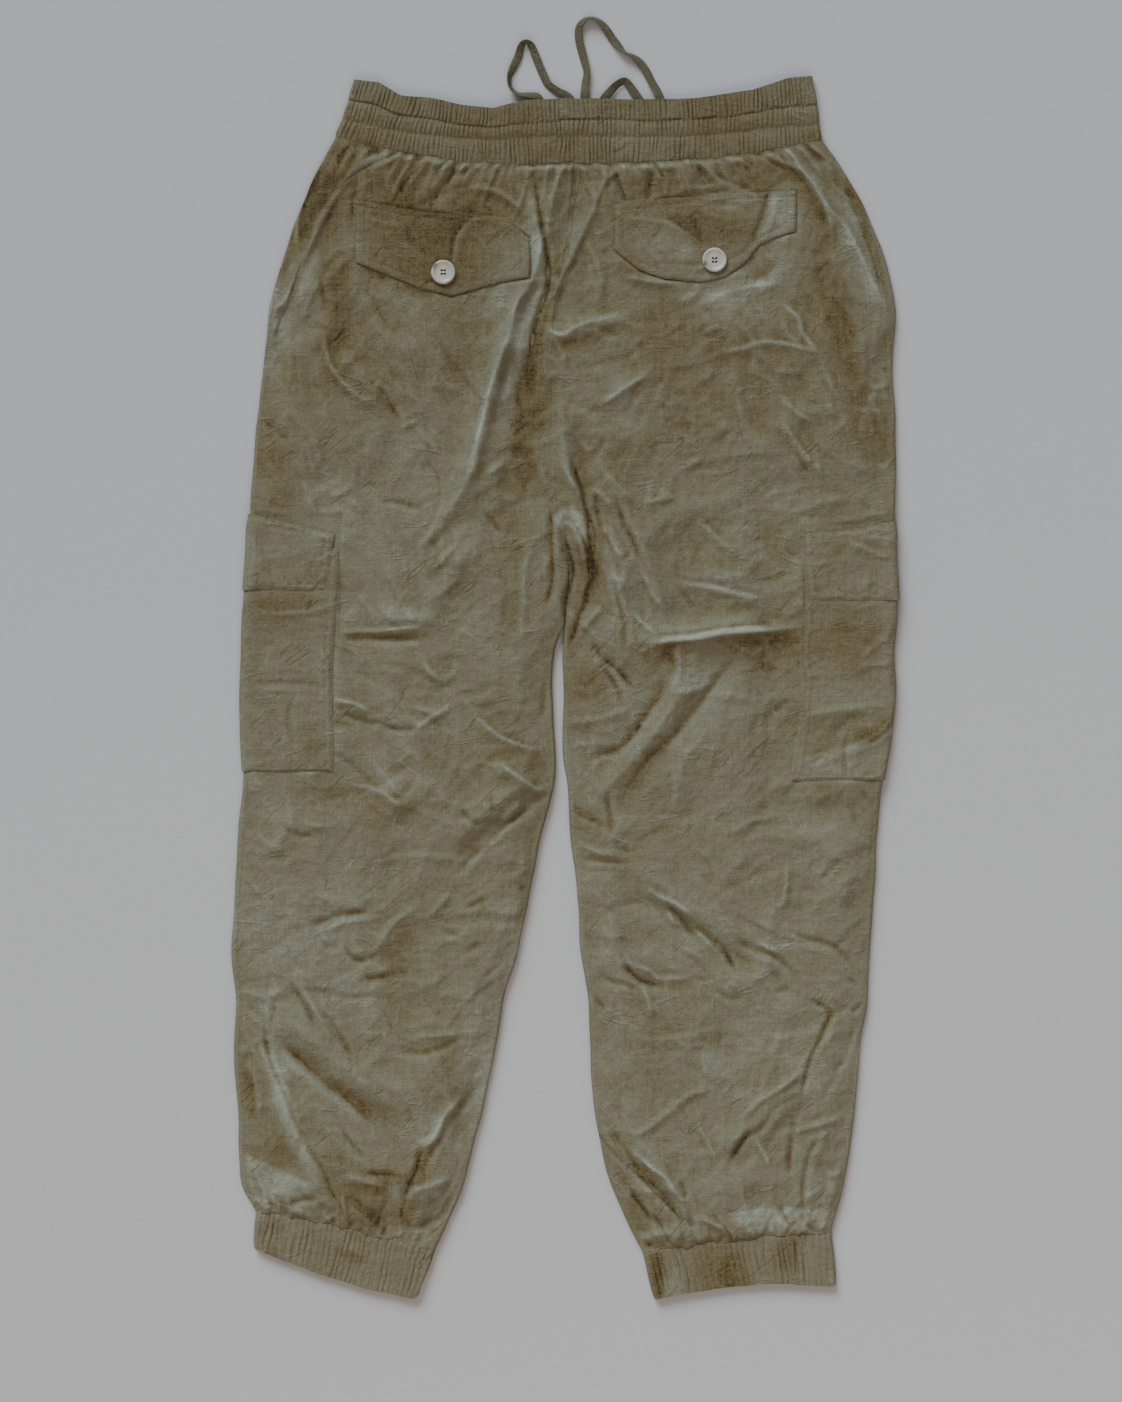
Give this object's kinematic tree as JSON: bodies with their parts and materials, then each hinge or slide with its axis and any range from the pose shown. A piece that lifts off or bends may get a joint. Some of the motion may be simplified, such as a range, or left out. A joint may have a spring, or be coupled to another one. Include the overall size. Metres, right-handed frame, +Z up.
{
  "type": "cargo joggers",
  "caption": "Cargo joggers laid flat, back side up: gathered waistband and cuffs, buttoned back flaps, cargo pockets on the side seams and a flat drawstring.",
  "frame": {"origin": "on the surface the garment lies on, under the centre of its bounding box without the drawstring", "axes": "+X across the garment, from the left side of the back as seen from above to its right, +Y from the cuffs to the waistband, +Z up from the surface, through the front and then the back"},
  "size_m": [0.5358, 1.0303, 0.0182],
  "materials": {
    "cloth": "soft washed slub weave, matt with a faint nap",
    "drawstring": "flat tie of the same cloth, matt",
    "button": "cream resin, satin gloss"
  },
  "bodies": {
    "root": {"back_left": "cloth", "back_right": "cloth", "front_left": "cloth", "front_right": "cloth", "waistband": "cloth", "cuff_left": "cloth", "cuff_right": "cloth", "back_flap_left": "cloth", "back_flap_right": "cloth", "cargo_pocket_left": "cloth", "cargo_pocket_right": "cloth", "cargo_flap_left": "cloth", "cargo_flap_right": "cloth", "drawstring_left": "drawstring", "drawstring_right": "drawstring", "button_left": "button", "button_right": "button"}
  },
  "joints": []
}
